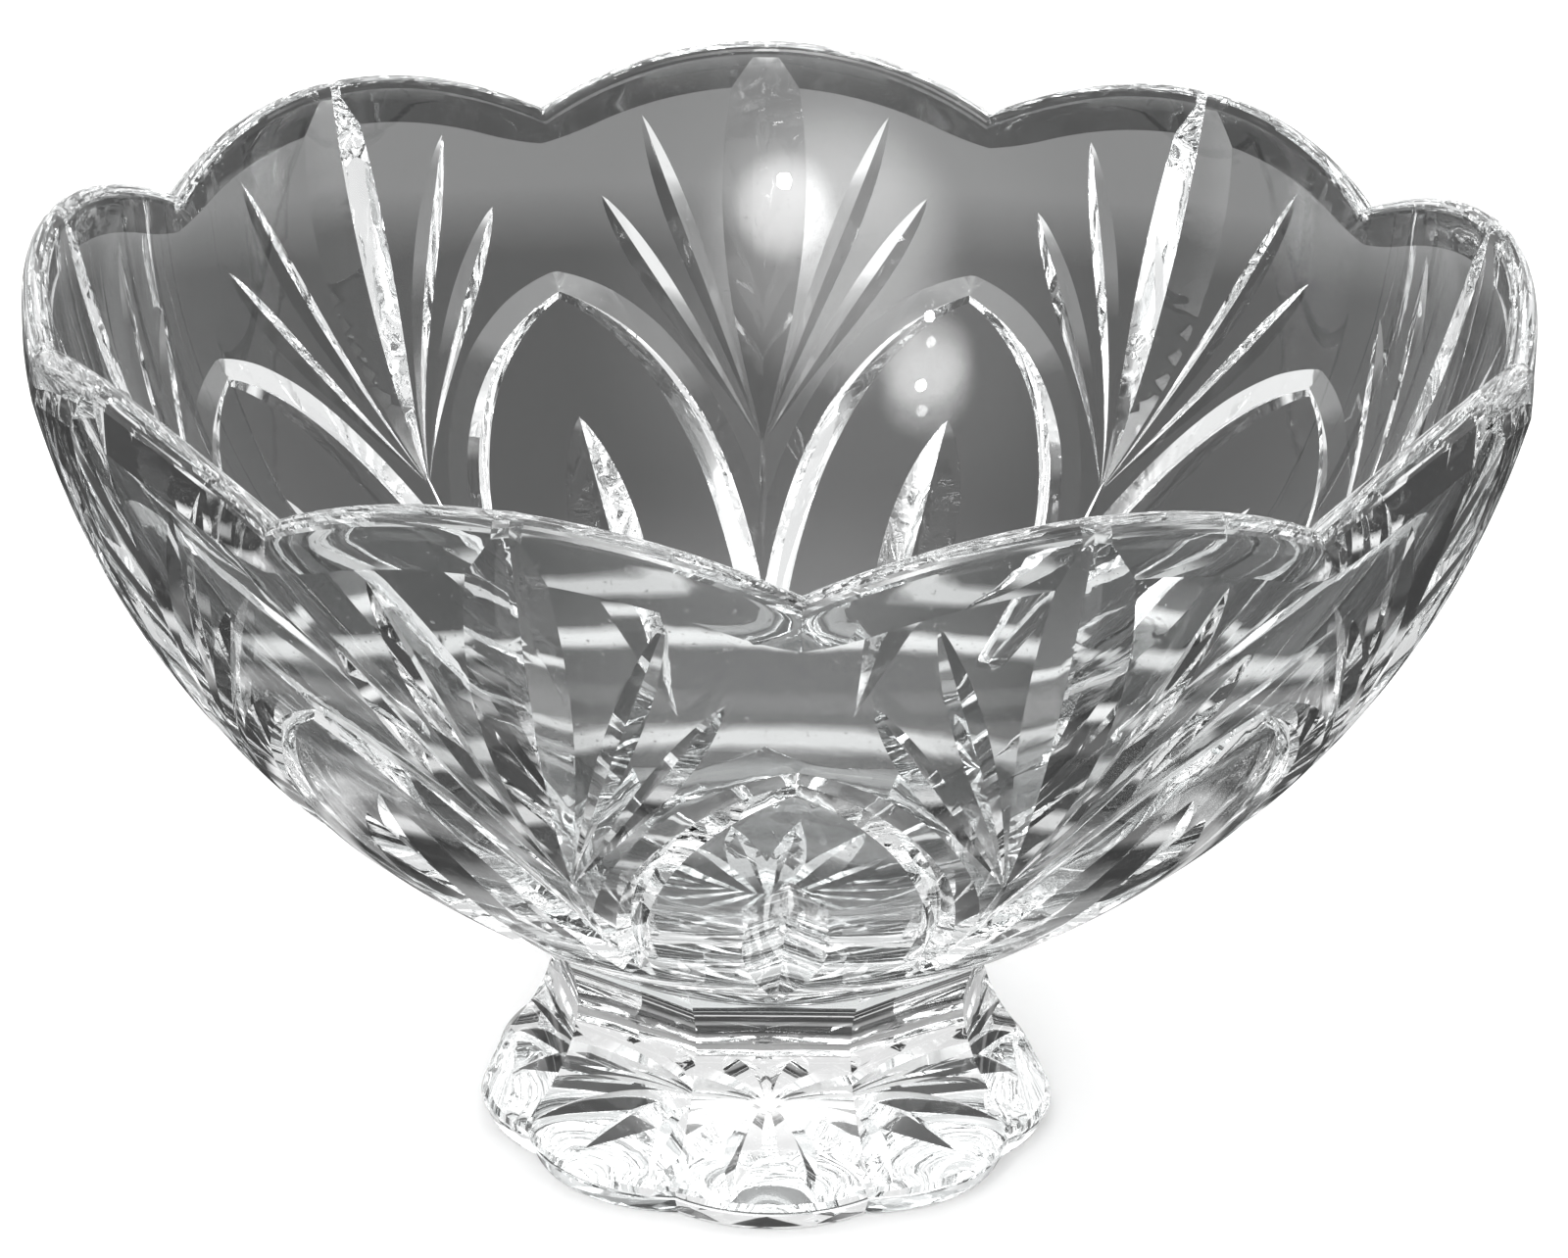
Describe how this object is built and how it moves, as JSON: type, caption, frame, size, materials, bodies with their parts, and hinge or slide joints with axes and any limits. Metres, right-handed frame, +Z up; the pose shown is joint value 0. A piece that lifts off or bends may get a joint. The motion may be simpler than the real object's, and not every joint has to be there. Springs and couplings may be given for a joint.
{
  "type": "punch bowl",
  "caption": "Round clear cut-glass punch bowl with a scalloped bevelled rim, bonded on a flared panelled foot with a star-cut underside.",
  "frame": {"origin": "centre of the flat base ring of the foot, on the surface that the bowl stands on", "axes": "+Z up along the bowl's centre line; -Y towards a rim notch and the middle of the foot panel below it"},
  "size_m": [0.3, 0.3, 0.1856],
  "materials": {
    "bowl_glass": "polished",
    "clear_bond": "gloss",
    "foot_glass": "polished"
  },
  "bodies": {
    "root": {"bowl": "bowl_glass", "bond_layer": "clear_bond", "pedestal_foot": "foot_glass"}
  },
  "joints": []
}
